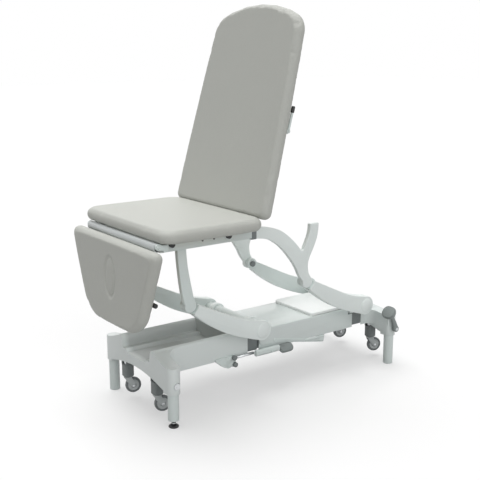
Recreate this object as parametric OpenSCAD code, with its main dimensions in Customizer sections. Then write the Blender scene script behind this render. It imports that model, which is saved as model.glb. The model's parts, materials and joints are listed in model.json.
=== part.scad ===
// Examination couch with a parallelogram lift, a tilting backrest and a drop leg section.
// Millimetres, +Z up, +X from the foot end to the head end, -Y is the side with the pedals.

/* [Base] */
// Distance between the leg axes along the couch
leg_span = 1272; // [1200:2:1340]
// Distance between the leg axes across the couch
leg_track = 516; // [490:2:560]
// Radius of a leg tube
leg_r = 24; // [20:0.5:26]
// Radius of the moulded sleeve around a leg
sleeve_r = 30; // [28:0.5:34]
// Half width of the beam covers
beam_y = 150; // [148:0.5:152]
// Height of the bottom edge of the beam covers
beam_z0 = 189; // [186:1:192]
// Height of the rims beside the front trough
rim_z = 307; // [300:1:312]
// Height of the trough floor
trough_z = 236; // [235:0.5:238]
// Wall thickness of the moulded covers
shell_t = 4; // [3:0.5:5]
// Radius of a castor wheel
wheel_r = 36; // [30:0.5:37]
// How far a castor wheel trails behind its swivel axis
castor_trail = 22; // [20:1:26]
// Angle by which the castors are swivelled in the pose shown
castor_turn = 72; // [0:1:360]
// How far the castors come down
castor_drop = 28; // [24:1:30]

/* [Lift] */
// Length of a lift arm between its pivots
arm_len = 424; // [410:1:430]
// Angle of the lift arms above level in the pose shown
arm_angle = 25.5; // [20:0.5:30]
// Height of the base pivots
pivot_z = 319.5; // [316:0.5:324]
// Place of the front base pivot
pivot_x1 = -145; // [-150:1:-140]
// Place of the rear base pivot
pivot_x2 = 496; // [490:1:502]
// Radius of a knee joint
knee_r = 28; // [26:0.5:32]

/* [Top] */
// Half width of the seat cushion
seat_y = 353; // [330:1:370]
// Height of the underside of the seat cushion
seat_z = 806; // [804:1:808]
// Thickness of the seat cushion
seat_t = 55; // [44:1:56]
// Height of the underside of the seat rails
rail_z = 752; // [750:1:754]
// Outer face of the seat rails
rail_y = 238; // [236:0.5:240]
// Angle of the backrest in the pose shown
back_angle = 75; // [60:1:75]
// Length of the backrest cushion above its nose
back_len = 905; // [820:5:930]
// Thickness of the backrest cushion
back_t = 48; // [42:1:50]
// Angle by which the leg section kicks out below
leg_kick = 1; // [0:0.5:6]
// Thickness of the leg section cushion
leg_t = 50; // [44:1:52]

/* [Hidden] */
$fn = 64;
eps = 0.01;
run = 0.05;
origin_x = 44.61;
lx = leg_span / 2;
ly = leg_track / 2;
castor_y = 128;
shaft_z = 190;
crank_r = 22;
wheel_z = wheel_r + 24;
rear_block = pivot_x2 + 18;
crank_a = asin(castor_drop / 2 / crank_r);
knee_x1 = pivot_x1 - arm_len * cos(arm_angle);
knee_x2 = pivot_x2 - arm_len * cos(arm_angle);
knee_z = pivot_z + arm_len * sin(arm_angle);
arm_y0 = 189;
arm_y1 = 212;
arm_y2 = 235;
tube1_r = 30;
tube2_r = 24;
lift_crank = 80;
lift_mid = 10;
back_px = -198;
back_pz = 808;
leg_px = -713;
leg_pz = 792;
paint = [0.86, 0.91, 0.89];
white = [0.93, 0.95, 0.94];
dark = [0.30, 0.32, 0.33];
grey = [0.58, 0.61, 0.61];
black = [0.07, 0.07, 0.08];
vinyl = [0.74, 0.73, 0.70];
steel = [0.72, 0.73, 0.74];
ply = [0.70, 0.58, 0.42];

// Shifts a piece so that the origin is under the middle of the whole couch
module put(c) {
    color(c)
        translate([origin_x, 0, 0])
            children();
}

// Draws a piece and its mirror image on the other side
module both() {
    children();
    mirror([0, 1, 0])
        children();
}

// Round bar across the couch
module bar_y(x, z, r, y0, y1) {
    translate([x, y0, z])
        rotate([-90, 0, 0])
            cylinder(r = r, h = y1 - y0);
}

// Round bar along the couch
module bar_x(y, z, r, x0, x1) {
    translate([x0, y, z])
        rotate([0, 90, 0])
            cylinder(r = r, h = x1 - x0);
}

// Box from its low corner to its high corner
module box(a, b) {
    translate(a)
        cube(b - a);
}

// Side profile (x, z) extruded across the couch
module across(y0, y1) {
    translate([0, y1, 0])
        rotate([90, 0, 0])
            linear_extrude(y1 - y0)
                children();
}

// End profile (y, z) extruded along the couch
module along(x0, x1) {
    translate([x0, 0, 0])
        rotate([90, 0, 90])
            linear_extrude(x1 - x0)
                children();
}

// Rectangle with round corners, centred
module soft_rect(w, h, r) {
    square([w - 2 * r, h], center = true);
    square([w, h - 2 * r], center = true);
    for (i = [-1, 1], j = [-1, 1])
        translate([i * (w / 2 - r), j * (h / 2 - r)])
            circle(r);
}

// Slot or stadium from one point to another
module stadium(a, b, r) {
    d = b - a;
    translate(a) {
        circle(r);
        rotate(atan2(d[1], d[0]))
            translate([0, -r])
                square([norm(d), 2 * r]);
    }
    translate(b)
        circle(r);
}

// Half outline on the positive side closed by its mirror image
function mirrored(p) = concat(p, [for (i = [len(p) - 1:-1:0]) [-p[i][0], p[i][1]]]);

// Smooth curve through a few points
function curve_at(p, i, t) = let (
    a = p[max(i - 1, 0)],
    b = p[i],
    c = p[i + 1],
    d = p[min(i + 2, len(p) - 1)])
    0.5 * (2 * b + (c - a) * t + (2 * a - 5 * b + 4 * c - d) * t * t + (3 * b - a - 3 * c + d) * t * t * t);
function curve(p, n = 5) = concat(
    [for (i = [0:len(p) - 2], k = [0:n - 1]) curve_at(p, i, k / n)],
    [p[len(p) - 1]]);

// Chassis: two box rails, end plates over the castors, and the dark side blocks below the arm pivots
module chassis_beam() {
    put(dark) {
        both()
            along(-606, 606)
                translate([120, 220])
                    difference() {
                        square([40, 40], center = true);
                        square([32, 32], center = true);
                    }
        for (s = [-1, 1])
            box([s * lx - 24, -220, 222], [s * lx + 24, 220, 230]);
        for (s = [-1, 1])
            both()
                box([s * 600 - 12, 100, 222], [s * 600 + 12, 140, 230]);
        both() {
            box([pivot_x1 - 22.9, 139, 198], [pivot_x1 + 32, 147, 261]);
            box([pivot_x1 - 32, 32, 239], [pivot_x1 + 32, 145.9, 261]);
            box([rear_block - 30, 139, 198], [rear_block + 30, 147, 261]);
            box([pivot_x2 - 32, 32, 239], [rear_block + 30, 145.9, 261]);
        }
        box([-440, -100.5, 222], [-400, 100.5, 230]);
        box([360, -104, 238], [400, 104, 246]);
        both()
            box([40, 30, 238], [80, 104, 246]);
    }
}

// Bearing blocks that carry the two arm tubes above the chassis
module pivot_bearing(x, r) {
    across(118, 145.5)
        difference() {
            union() {
                translate([x, pivot_z])
                    circle(r + 9);
                translate([x - r, 261])
                    square([2 * r, pivot_z - 261]);
            }
            translate([x, pivot_z])
                circle(r + run);
        }
}

module pivot_bearings() {
    put(grey)
        both() {
            pivot_bearing(pivot_x1, tube1_r);
            pivot_bearing(pivot_x2, tube2_r);
        }
}

// Plan of an end bar: as wide as its two leg sleeves
module bar_plan(grow) {
    stadium([0, -ly], [0, ly], sleeve_r + grow);
}

// Opening below an end bar, arched between the sleeves
module arch_below() {
    polygon(mirrored(concat([[0, 100]], [[228, 100]], [[228, 160]],
        curve([[222, 161], [192, 169], [150, 179], [95, 188], [45, 193]]), [[0, 194]])));
}

// Holes for the legs and the castor shaft through an end bar at x
module end_bar_holes(x) {
    for (s = [-1, 1])
        translate([x, s * ly, 100])
            cylinder(r = leg_r + run, h = x < 0 ? 162 : 152);
    bar_y(x, shaft_z, 8 + run, -400, 400);
}

// Fillet in the corner between an end bar and the beam, r wide and h tall
module bar_fillet(r, h) {
    linear_extrude(h)
        difference() {
            square(r);
            translate([r, r])
                circle(r);
        }
}

// Front cover: a T-shaped moulding with an arched end bar and an open trough
function front_section() = [[beam_y, beam_z0], [beam_y, 290], [beam_y - 4, 301], [beam_y - 12, rim_z],
    [beam_y - 20, rim_z - 3], [122, 290], [117, 254], [112, 251], [86, 253], [78, trough_z + 2], [70, trough_z]];

module front_base_cover() {
    bar_top = mirrored(concat([[ly + sleeve_r, 150], [ly + sleeve_r, 262], [ly + 14, 265.5], [ly - 20, 269],
        [beam_y + 30, 288]], [for (i = [2:10]) front_section()[i]]));
    cavity = mirrored([[222, 90], [222, 254], [beam_y + 24, 282], [beam_y - 8, 296], [beam_y - 16, 298],
        [126, 288], [121.5, 251], [113, 246.5], [88, 248.5], [80.5, trough_z - 2.5], [72, trough_z - 4.5]]);
    put(white)
        difference() {
            union() {
                intersection() {
                    along(-lx - sleeve_r, -lx + sleeve_r)
                        difference() {
                            polygon(bar_top);
                            arch_below();
                        }
                    translate([-lx, 0, 150])
                        linear_extrude(200)
                            bar_plan(0);
                }
                for (s = [-1, 1])
                    translate([-lx, s * ly, 160])
                        cylinder(r = sleeve_r, h = 105);
                along(-lx + sleeve_r - eps, pivot_x1 - 23)
                    polygon(mirrored(front_section()));
                along(-270, pivot_x1 - 47)
                    polygon(mirrored([[72, trough_z - 4.5], [118, 250], [beam_y - 4, 301], [beam_y - 12, rim_z], [0, rim_z]]));
                intersection() {
                    both()
                        translate([-lx + sleeve_r - eps, beam_y - eps, 190])
                            bar_fillet(58, 110);
                    along(-lx, -lx + 120)
                        polygon(bar_top);
                }
            }
            along(-lx - sleeve_r + shell_t - 1, -lx + sleeve_r - shell_t + 1)
                polygon(cavity);
            along(-lx, pivot_x1)
                polygon(mirrored([[beam_y - shell_t, 100], [beam_y - shell_t, 288], [beam_y - 12, 299],
                    [beam_y - 20, 296], [126, 288], [121.5, 251], [113, 246.5], [88, 248.5], [80.5, trough_z - 2.5],
                    [72, trough_z - 4.5]]));
            along(-266, pivot_x1)
                polygon(mirrored([[beam_y - shell_t, 225], [beam_y - 8, 298], [beam_y - 13, rim_z - 4]]));
            box([pivot_x1 - 47, -beam_y + 4, 258], [pivot_x1, beam_y - 4, 330]);
            box([pivot_x1 - 47, -200, 286], [pivot_x1, 200, 330]);
            end_bar_holes(-lx);
        }
}

// Middle cover: a plain channel over the beam with a lobe beside the front arm pivot
module middle_base_cover() {
    put(white)
        difference() {
            union() {
                along(-103, rear_block - 31)
                    polygon(mirrored([[beam_y, beam_z0], [beam_y, 283], [beam_y - 3, 290], [beam_y - 10, 293]]));
                both()
                    across(beam_y - 1, beam_y + 5)
                        translate([-63, 248])
                            soft_rect(80, 68, 22);
            }
            along(-104, rear_block - 30)
                polygon(mirrored([[beam_y - shell_t, 100], [beam_y - shell_t, 282], [beam_y - 11, 289]]));
            box([-104, -32, 280], [-82, 32, 300]);
            box([pivot_x2 - 40, -200, 258], [pivot_x2, 200, 330]);
        }
}

// Raised lid on the rear half of the middle cover
module deck_lid() {
    put([0.97, 0.98, 0.98])
        translate([(220 + pivot_x2 - 41) / 2, 0, 293])
            difference() {
                linear_extrude(14)
                    soft_rect(pivot_x2 - 41 - 220, 2 * beam_y - 14, 14);
                translate([0, 0, -1])
                    linear_extrude(12)
                        soft_rect(pivot_x2 - 41 - 220 - 8, 2 * beam_y - 22, 10);
            }
}

// Rear casting: a short beam that widens into an arched end bar
module rear_base_cover() {
    bar_top = mirrored([[ly + sleeve_r, 150], [ly + sleeve_r, 252], [ly + 14, 256], [ly - 20, 258],
        [150, 266], [60, 271]]);
    cavity = mirrored([[222, 90], [222, 250], [150, 261], [60, 266]]);
    put(white)
        difference() {
            union() {
                intersection() {
                    along(lx - sleeve_r, lx + sleeve_r)
                        difference() {
                            polygon(bar_top);
                            arch_below();
                        }
                    translate([lx, 0, 150])
                        linear_extrude(200)
                            bar_plan(0);
                }
                for (s = [-1, 1])
                    translate([lx, s * ly, 160])
                        cylinder(r = sleeve_r, h = 96);
                along(rear_block + 31, lx - sleeve_r + eps)
                    polygon(mirrored([[beam_y, beam_z0], [beam_y, 260], [beam_y - 8, 266], [60, 271]]));
                intersection() {
                    both()
                        translate([lx - sleeve_r + eps, beam_y - eps, 190])
                            mirror([1, 0, 0])
                                bar_fillet(50, 80);
                    along(lx - 120, lx)
                        polygon(bar_top);
                }
            }
            along(lx - sleeve_r + shell_t - 1, lx + sleeve_r - shell_t + 1)
                polygon(cavity);
            along(pivot_x2, lx)
                polygon(mirrored([[beam_y - shell_t, 100], [beam_y - shell_t, 258], [beam_y - 10, 262], [60, 267]]));
            box([pivot_x2, -200, 254], [rear_block + 42, 200, 330]);
            end_bar_holes(lx);
        }
}

// Legs: four tubes in the sleeves, the near front one shorter for its levelling foot
module leg_tubes() {
    put(paint)
        difference() {
            for (i = [-1, 1], j = [-1, 1])
                translate([i * lx, j * ly, 0]) {
                    z0 = (i == -1 && j == -1) ? 36 : 8;
                    z1 = (i == -1) ? 262 : 252;
                    difference() {
                        translate([0, 0, z0])
                            cylinder(r = leg_r, h = z1 - z0);
                        translate([0, 0, z0 - 1])
                            cylinder(r = leg_r - 3, h = z1 - 4 - z0);
                    }
                }
            for (i = [-1, 1])
                bar_y(i * lx, shaft_z, 9, -400, 400);
        }
}

// Caps under three legs and the threaded insert of the fourth
module leg_end_caps() {
    put(grey) {
        for (p = [[-lx, ly], [lx, -ly], [lx, ly]])
            translate(p)
                rotate_extrude()
                    polygon([[0, 0], [leg_r - 2, 0], [leg_r, 2], [leg_r, 8], [leg_r - 3 - run, 8],
                        [leg_r - 3 - run, 22], [0, 22]]);
        translate([-lx, -ly])
            rotate_extrude()
                polygon([[6 + run, 32], [leg_r, 32], [leg_r, 36], [leg_r - 3 - run, 36], [leg_r - 3 - run, 60],
                    [6 + run, 60]]);
    }
}

// Levelling foot with its stud and lock nut
module levelling_foot() {
    put(black)
        translate([-lx, -ly]) {
            rotate_extrude()
                polygon([[0, 0], [20, 0], [22, 2], [22, 6], [19, 9], [11, 13], [6, 14], [6, 58], [0, 58]]);
            translate([0, 0, 21])
                cylinder(r = 11, h = 8, $fn = 6);
        }
}

// Castor housings: a rounded block with a bore for the stem, and two cheeks up to the chassis
module castor_housings() {
    put(dark)
        for (i = [-1, 1], j = [-1, 1])
            translate([i * lx, j * castor_y, 0])
                difference() {
                    union() {
                        translate([0, 0, 107])
                            linear_extrude(57)
                                soft_rect(46, 46, 13);
                        translate([0, 0, 103.6])
                            linear_extrude(4.4)
                                soft_rect(40, 40, 12);
                        for (y = [-20, 20])
                            box([-20, y - 2, 160], [20, y + 2, 222]);
                    }
                    translate([0, 0, 100])
                        cylinder(r = 16 + run, h = 80);
                    bar_y(0, shaft_z, 9, -40, 40);
                }
}

// Castor stem: slides down in its housing, pulled by the crank pin in its hooked head
module castor_stem(i, j) {
    put(steel)
        translate([i * lx, j * castor_y, 0])
            difference() {
                union() {
                    translate([0, 0, 103.5])
                        cylinder(r = 16, h = 74.5);
                    translate([0, 0, 97])
                        cylinder(r = 7, h = 10);
                    translate([0, 0, 95.2])
                        cylinder(r = 8.5, h = 2.2);
                    box([9.8, -4, 170], [15.5, 4, 200]);
                    box([9.8, -4, 194], [26, 4, 217]);
                }
                box([12.2, -5, 204 - 4.8], [30, 5, 204 + 4.8]);
            }
}

module castor_stem_fn() {
    castor_stem(-1, -1);
}

module castor_stem_ff() {
    castor_stem(-1, 1);
}

module castor_stem_rn() {
    castor_stem(1, -1);
}

module castor_stem_rf() {
    castor_stem(1, 1);
}

// Castor fork: a crown turning on the stem's rivet and two cheeks that hold the axle behind it
module castor_fork(i, j) {
    put(grey)
        translate([i * lx, j * castor_y, 0])
            rotate([0, 0, castor_turn]) {
                translate([0, 0, 97.5])
                    rotate_extrude()
                        polygon([[7 + run, 0], [20, 0], [20, 3.5], [18, 5.5], [7 + run, 5.5]]);
                for (s = [-1, 1])
                    along(s * 13 - 1.5, s * 13 + 1.5)
                        polygon([[11, 102], [15, 98], [12, 86], [-castor_trail + 10, wheel_z - 4],
                            [-castor_trail + 5, wheel_z - 9], [-castor_trail - 5, wheel_z - 9],
                            [-castor_trail - 9, wheel_z - 3], [-castor_trail - 9, wheel_z + 8], [-17, 92], [-15, 98],
                            [-11, 102]]);
                bar_x(-castor_trail, wheel_z, 5, -17, 17);
            }
}

module castor_fork_fn() {
    castor_fork(-1, -1);
}

module castor_fork_ff() {
    castor_fork(-1, 1);
}

module castor_fork_rn() {
    castor_fork(1, -1);
}

module castor_fork_rf() {
    castor_fork(1, 1);
}

// Castor wheel: round tyre, dished web and hub
module castor_wheel(i, j) {
    put(grey)
        translate([i * lx, j * castor_y, 0])
            rotate([0, 0, castor_turn])
                translate([0, -castor_trail, wheel_z])
                    rotate([0, 90, 0])
                        rotate_extrude()
                            polygon([[5 + run, -10.5], [12, -10.5], [12, -6], [wheel_r - 10, -5], [wheel_r - 9, -10],
                                [wheel_r - 3, -10], [wheel_r - 1, -8], [wheel_r, -4], [wheel_r, 4],
                                [wheel_r - 1, 8], [wheel_r - 3, 10], [wheel_r - 9, 10], [wheel_r - 10, 5], [12, 6],
                                [12, 10.5], [5 + run, 10.5]]);
}

module castor_wheel_fn() {
    castor_wheel(-1, -1);
}

module castor_wheel_ff() {
    castor_wheel(-1, 1);
}

module castor_wheel_rn() {
    castor_wheel(1, -1);
}

module castor_wheel_rf() {
    castor_wheel(1, 1);
}

// Crank plate on a castor shaft, from y0 to y1, with a pin from p0 to p1
module shaft_crank(x, angle, y0, y1, p0, p1) {
    pin = [x + crank_r * cos(angle), shaft_z + crank_r * sin(angle)];
    across(y0, y1) {
        stadium([x, shaft_z], pin, 5);
        translate([x, shaft_z])
            circle(11);
    }
    bar_y(pin[0], pin[1], 4, p0, p1);
}

// Castor shaft across an end bar with its three cranks
module castor_shaft(x, y0, y1) {
    bar_y(x, shaft_z, 8, y0, y1);
    for (j = [-1, 1])
        shaft_crank(x, crank_a, j * castor_y + 5, j * castor_y + 11, j * castor_y - 5, j * castor_y + 6);
    shaft_crank(x, 90 + crank_a, 65, 71, 55, 66);
}

module rear_castor_shaft() {
    put(steel) {
        castor_shaft(lx, -313, 283);
        bar_y(lx, shaft_z, 14, 288.5, 293);
        bar_y(lx, shaft_z, 8, 282, 290);
    }
}

module front_castor_shaft() {
    put(white) {
        castor_shaft(-lx, -289, 289);
        for (s = [-1, 1])
            bar_y(-lx, shaft_z, 14, s * 291 - 2.5, s * 291 + 2.5);
        bar_y(-lx, shaft_z, 5, -296, -289);
    }
}

// Flat link between the two castor shafts, with an upright slot for each crank pin
module castor_link_rod() {
    dx = crank_r * cos(90 + crank_a);
    put(steel) {
        for (s = [-1, 1])
            across(56, 63)
                difference() {
                    translate([s * lx + dx, 209.5])
                        soft_rect(19, 20, 4);
                    stadium([s * lx + dx, 206.4], [s * lx + dx, 212.6], 4.8);
                }
        box([-lx + dx + 9, 57, 204], [lx + dx - 9, 62, 214]);
    }
}

// Castor pedal: hub on the shaft, a curved lever and an oval foot pad
module castor_pedal() {
    put(grey)
        difference() {
            union() {
                bar_y(lx, shaft_z, 15, -312, -291);
                across(-309, -297)
                    polygon(concat(
                        curve([[lx + 13, shaft_z + 4], [lx - 4, shaft_z + 42], [lx - 36, shaft_z + 84]]),
                        curve([[lx - 50, shaft_z + 80], [lx - 24, shaft_z + 34], [lx - 13, shaft_z - 6]])));
                translate([lx - 49, -300, shaft_z + 92])
                    rotate([0, -58, 0]) {
                        linear_extrude(12, center = true)
                            stadium([0, -9], [0, 7], 32);
                        translate([0, 0, 7])
                            linear_extrude(4, center = true)
                                stadium([0, -9], [0, 7], 27);
                    }
            }
            bar_y(lx, shaft_z, 8 + 0.02, -320, -280);
        }
}

// Brackets of the lift pedal below the near rail, its pivot pin, two stop knobs, stop rod and guide rod
module pedal_brackets() {
    put(paint) {
        box([-64, -140, 170], [-30, -128, 200]);
        bar_y(-47, 183.5, 5, -183, -139);
        across(-158, -122)
            polygon([[-344, 188], [-306, 156], [-282, 146], [-268, 149], [-263, 165], [-263, 188]]);
        across(-158, -beam_y - 0.5)
            polygon([[-352, 200], [-344, 187], [-263, 187], [-263, 203], [-300, 203]]);
        box([-340, -140, 187], [-270, -122, 200]);
        across(-162, -156)
            polygon([[-290, 188], [-290, 158], [-252, 150], [-242, 160], [-247, 196], [-258, 206]]);
        bar_y(-256, 195, 11, -174, -157);
        bar_y(-251, 162, 11, -172, -157);
        bar_x(-165, 194, 6, -250, -146);
        across(-153, -beam_y)
            stadium([-8, 221], [286, 162], 8);
        across(-154, -128)
            translate([280, 175])
                soft_rect(30, 26, 6);
        box([268, -140, 180], [292, -128, 200]);
        bar_x(-151, 182.5, 5.5, 176, 292);
    }
}

// Rocking bar of the lift pedal
module lift_pedal_bar() {
    put(paint)
        difference() {
            along(-138, -1)
                translate([-169, 190])
                    soft_rect(20, 30, 9.5);
            bar_y(-47, 183.5, 5 + run, -200, -140);
        }
}

// Oval foot pad at the end of the rocking bar, tipped towards the foot
module lift_pedal_pad() {
    put(grey) {
        box([-1, -177, 177], [30, -161, 199]);
        translate([40, -172, 182])
            rotate([54, 0, 0]) {
                linear_extrude(12, center = true)
                    stadium([-18, 0], [18, 0], 22);
                translate([0, 0, 7])
                    linear_extrude(4, center = true)
                        stadium([-18, 0], [18, 0], 18);
            }
    }
}

// Lift drive in the beam: motor block and guide tube
module actuator_body() {
    put(dark)
        difference() {
            union() {
                bar_x(0, 240 - 0.3, 24, -55, 190);
                along(190, 290)
                    translate([0, 239])
                        soft_rect(76, 70, 20);
                box([40, -60, 222], [80, 60, 238]);
            }
            bar_x(0, 240 - 0.3, 12 + run, -60, 170);
        }
}

// Sliding rod of the lift drive with a slotted head around the crank pin
module actuator_rod() {
    pin_x = pivot_x1 - lift_crank * sin(lift_mid);
    put(steel) {
        bar_x(0, 240 - 0.3, 12, pin_x + 20, 70);
        across(-11, 11)
            difference() {
                translate([pin_x, 247])
                    soft_rect(50, 58, 10);
                stadium([pin_x, 239], [pin_x, 257], 9);
            }
    }
}

// Side view of a lift arm from its base pivot (at the origin) along +X to its knee
module arm_profile() {
    top = curve([[0, 46], [59, 32], [110, 22], [170, 17], [300, 16.5], [arm_len, 18]]);
    low = curve([[arm_len, -26], [396, -30], [312, -49], [206, -61], [103, -58], [0, -46]]);
    polygon(concat(top, low));
    circle(46);
}

// Places a side view made along +X at a base pivot, turned to the arm angle
module arm_place(x) {
    translate([x, pivot_z])
        rotate(-arm_angle)
            mirror([1, 0])
                children();
}

// One pair of curved arm plates on its cross tube
module arm_frame(x, r, wall, bore) {
    difference() {
        union() {
            bar_y(x, pivot_z, r, -arm_y0 - 1, arm_y0 + 1);
            both()
                across(arm_y0, arm_y1)
                    arm_place(x)
                        difference() {
                            union() {
                                arm_profile();
                                translate([arm_len, 0])
                                    circle(knee_r - 1);
                            }
                            translate([arm_len, 0])
                                circle(bore);
                        }
        }
        bar_y(x, pivot_z, r - wall, -arm_y0 - 2, arm_y0 + 2);
    }
}

module front_arm_frame() {
    pin = [pivot_x1 - lift_crank * sin(lift_mid), pivot_z - lift_crank * cos(lift_mid)];
    put(paint) {
        arm_frame(pivot_x1, tube1_r, 5, 12 + run);
        both()
            across(13, 22)
                difference() {
                    stadium([pivot_x1, pivot_z], pin, 14);
                    translate([pivot_x1, pivot_z])
                        circle(tube1_r - 3);
                }
        bar_y(pin[0], pin[1], 7, -22, 22);
    }
}

module rear_arm_frame() {
    put(paint)
        arm_frame(pivot_x2, tube2_r, 4, 12.4);
}

// Outer arm covers: the arm's outline cut back around the knee, with a lens-shaped pivot cap
module arm_covers(x) {
    cap_r = 34;
    cap_h = 7;
    ball = (cap_r * cap_r + cap_h * cap_h) / (2 * cap_h);
    both() {
        across(arm_y1, arm_y2)
            arm_place(x)
                difference() {
                    arm_profile();
                    translate([arm_len, 0])
                        circle(40);
                }
        intersection() {
            translate([x, arm_y2 + cap_h - ball, pivot_z])
                sphere(ball);
            box([x - 60, arm_y2 - eps, pivot_z - 60], [x + 60, arm_y2 + 20, pivot_z + 60]);
        }
    }
}

module front_arm_covers() {
    put(white)
        arm_covers(pivot_x1);
}

module rear_arm_covers() {
    put(white)
        arm_covers(pivot_x2);
}

// Seat frame: two rails with slanted front ends, cross plates, and lugs for the two hinge tubes
module seat_frame() {
    put(paint) {
        both() {
            difference() {
                across(205, rail_y)
                    polygon([[-212, rail_z], [-673, rail_z], [-690, 798], [-212, 798]]);
                across(209, rail_y - 4)
                    polygon([[-211, rail_z + 4], [-668, rail_z + 4], [-683, 794], [-211, 794]]);
                for (x = [-468, -410])
                    bar_y(x, 778, 3, 200, 250);
            }
            box([-690, rail_y - 4, 768], [-668, 295, 796]);
            across(287, 295)
                difference() {
                    union() {
                        translate([leg_px, leg_pz])
                            circle(13.6);
                        polygon([[leg_px, leg_pz + 8], [leg_px + 4, leg_pz - 13], [-668, 768], [-668, 796]]);
                    }
                    translate([leg_px, leg_pz])
                        circle(9);
                }
            across(190, 198)
                difference() {
                    union() {
                        translate([back_px, back_pz])
                            circle(13);
                        polygon([[back_px - 30, 764], [back_px + 9, 764], [back_px + 11, back_pz - 6],
                            [back_px - 8, back_pz - 10], [back_px - 30, 790]]);
                    }
                    translate([back_px, back_pz])
                        circle(10);
                }
            box([back_px - 30, 190, 764], [back_px - 4, 206, 790]);
        }
        for (x = [-650, -440, -320])
            box([x - 20, -206, 786], [x + 20, 206, 798]);
    }
}

// Front uprights from the seat rails down to the front knees
module front_legs() {
    inner = curve([[-546, rail_z], [-539, 675], [-518, 567], [knee_x1 + 22, knee_z + 17]]);
    outer = curve([[knee_x1 - 27, knee_z + 8], [-570, 567], [-583.5, 675], [-590, rail_z]]);
    put(white)
        both()
            difference() {
                across(arm_y1 + 0.5, arm_y2) {
                    polygon(concat(inner, [[knee_x1, knee_z]], outer));
                    translate([knee_x1, knee_z])
                        circle(knee_r);
                }
                bar_y(knee_x1, knee_z, 12, arm_y1, arm_y2 - 5);
            }
}

// Rear arches from the rail joints down to the rear knees, with a horn that the backrest rests on
module rear_arches() {
    above = curve([[-186, 797], [-145, 794], [-68, 774], [-15, 743], [38, 697], [74, 656]]);
    horn = concat(curve([[86, 657], [118, 727], [124, 774]]), curve([[175, 774], [168, 713], [144, 657],
        [116, 599], [118, 550], [knee_x2 + 22, knee_z + 17]]));
    below = curve([[knee_x2 - 27, knee_z + 6], [63, 540], [40, 584], [3, 634], [-49, 689], [-101, 725],
        [-142, 740], [-186, 746]]);
    put(white)
        both()
            difference() {
                across(arm_y1 + 0.5, arm_y2) {
                    polygon(concat(above, horn, [[knee_x2, knee_z]], below));
                    translate([knee_x2, knee_z])
                        circle(knee_r);
                }
                bar_y(knee_x2, knee_z, 12, arm_y1, arm_y2 - 5);
            }
}

// Dark blocks that join the rails to the arches
module rail_joint_blocks() {
    put(dark)
        both() {
            box([-212, 207, 745], [-186, 237, 782]);
            box([-232, 210, 757], [-212, 233, 781]);
        }
}

// Knee pins with their bolt heads on the inner side
module knee_pins() {
    put(dark)
        both()
            for (x = [knee_x1, knee_x2]) {
                bar_y(x, knee_z, 12, 186, arm_y2 - 5);
                bar_y(x, knee_z, 14, 180, 188);
            }
}

// Cross tube that the leg section hangs from
module leg_hinge_tube() {
    put(white)
        difference() {
            bar_y(leg_px, leg_pz, 9, -295, 295);
            bar_y(leg_px, leg_pz, 6, -296, 296);
        }
}

// Cross tube that the backrest turns on
module back_hinge_tube() {
    put(steel)
        difference() {
            bar_y(back_px, back_pz, 10, -198, 198);
            bar_y(back_px, back_pz, 7, -199, 199);
        }
}

// Plywood board under the seat cushion
module seat_board() {
    put(ply)
        translate([-461, 0, 798])
            linear_extrude(seat_z - 798)
                soft_rect(400, 2 * seat_y - 112, 40);
}

// Black half-round knobs on the rails
module accessory_knobs() {
    put(black)
        both()
            for (x = [-620, -338])
                intersection() {
                    bar_y(x, 782, 13, rail_y, rail_y + 11);
                    box([x - 20, rail_y - 1, 760], [x + 20, rail_y + 20, 782]);
                }
}

// Slide tube of a tilt strut under the seat, bored from x = b0 to b1
module strut_tube(y, z, x0, x1, b0, b1, r) {
    difference() {
        bar_x(y, z, r + 5, x0, x1);
        bar_x(y, z, r + run, b0, b1);
    }
    for (x = [x0 + 20, x1 - 20])
        box([x - 9, y - 7, z + r + 3], [x + 9, y + 7, 786]);
}

// Slotted rod of a tilt strut around a crank pin
module strut_rod(y, z, pin_x, low, high, gap, x0, x1, r) {
    bar_x(y, z, r, x0, x1);
    across(y - 7, y + 7)
        difference() {
            translate([pin_x, (low + high) / 2])
                soft_rect(40, high - low + 2 * gap + 14, 8);
            stadium([pin_x, low], [pin_x, high], gap);
        }
}

back_crank = 70;
back_mid = back_angle / 2;
back_pin = [back_px + back_crank * sin(back_mid), back_pz - back_crank * cos(back_mid)];
leg_crank = 45;
leg_mid = (90 - leg_kick) / 2;
leg_pin = [leg_px + leg_crank * sin(leg_mid), leg_pz - leg_crank * cos(leg_mid)];

module back_strut_tube() {
    put(dark)
        strut_tube(-50, 746, -460, -300, -454, -299, 9);
}

module back_strut_rod() {
    put(steel)
        strut_rod(-50, 746, back_pin[0], back_pz - back_crank, back_pin[1], 7.8, -362, back_pin[0] - 16, 9);
}

module leg_strut_tube() {
    put(dark)
        strut_tube(50, 752, -630, -428, -631, -434, 9);
}

// Corner of a cushion's outline, rounded by r
function unit(v) = v / norm(v);
function corner(a, b, c, r, n) = let (
    u = unit(a - b),
    v = unit(c - b),
    h = acos(u * v) / 2,
    m = b + unit(u + v) * r / sin(h),
    s = b + u * r / tan(h) - m,
    a0 = atan2(s[1], s[0]))
    [for (k = [0:n]) m + r * [cos(a0 + (180 - 2 * h) * k / n), sin(a0 + (180 - 2 * h) * k / n)]];

// Outline through rounded corners whose sides are drawn in by sag between them
function outline(p, r, n, m, sag) = let (
    k = len(p),
    arcs = [for (i = [0:k - 1]) corner(p[(i + k - 1) % k], p[i], p[(i + 1) % k], r[i], n)])
    [for (i = [0:k - 1]) each concat(arcs[i], let (
        a = arcs[i][n],
        b = arcs[(i + 1) % k][0],
        w = unit(b - a))
        [for (j = [1:m]) a + (b - a) * j / (m + 1)
            + min(sag, norm(b - a) / 100) * 4 * j / (m + 1) * (1 - j / (m + 1)) * [-w[1], w[0]]])];

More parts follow.
